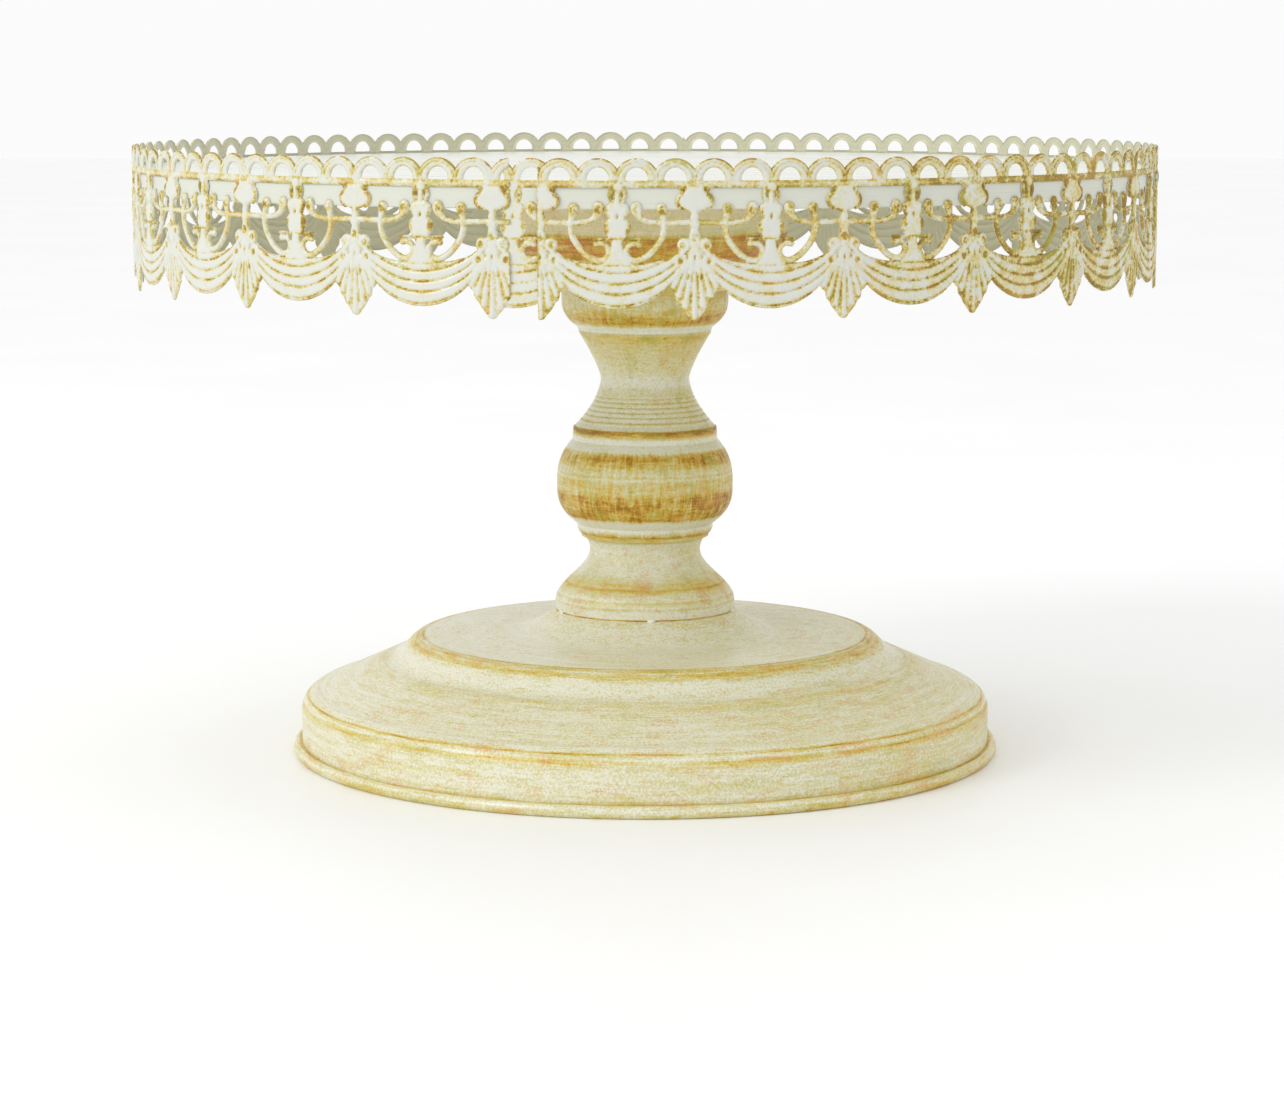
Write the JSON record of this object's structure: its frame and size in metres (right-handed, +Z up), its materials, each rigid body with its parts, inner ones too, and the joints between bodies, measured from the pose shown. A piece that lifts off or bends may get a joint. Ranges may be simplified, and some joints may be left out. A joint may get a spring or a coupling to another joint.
{
  "type": "cake stand",
  "caption": "Pedestal cake stand with a round flat plate inside a pierced lace band, on a turned baluster stem and a stepped round base.",
  "frame": {"origin": "middle of the underside of the base's hem, where the stand rests", "axes": "+Z up along the stem's axis; -Y is the front, where the lace's joint is; +X is to the right"},
  "size_m": [0.3056, 0.305, 0.1835],
  "materials": {
    "base_enamel": "satin cream enamel with ochre and olive glaze wiped into the edges",
    "stem_enamel": "satin cream enamel with brushed ochre streaks",
    "stem_glaze": "satin cream enamel under heavy brushed ochre and olive glaze",
    "bowl_glaze": "satin enamel under ochre and orange-brown glaze",
    "plate_enamel": "smooth satin off-white enamel",
    "lace_enamel": "satin off-white enamel with ochre glaze in the embossed grooves and along the edges",
    "steel": "plain zinc-plated steel"
  },
  "bodies": {
    "root": {"base_shell": "base_enamel", "hem_wire": "steel", "stem_foot": "stem_enamel", "stem_bulb": "stem_glaze", "stem_neck": "stem_enamel", "stem_cup": "stem_glaze", "bowl": "bowl_glaze", "foot_welds": "base_enamel", "tie_rod": "steel", "base_washer": "steel", "spring_washer": "steel", "base_nut": "steel", "plate": "plate_enamel", "plate_boss": "steel", "lace_strip_right": "lace_enamel", "lace_strip_left": "lace_enamel", "lace_patch_front": "lace_enamel", "lace_joint_strap": "lace_enamel", "lace_rivets": "lace_enamel", "lace_tacks": "lace_enamel"}
  },
  "joints": []
}
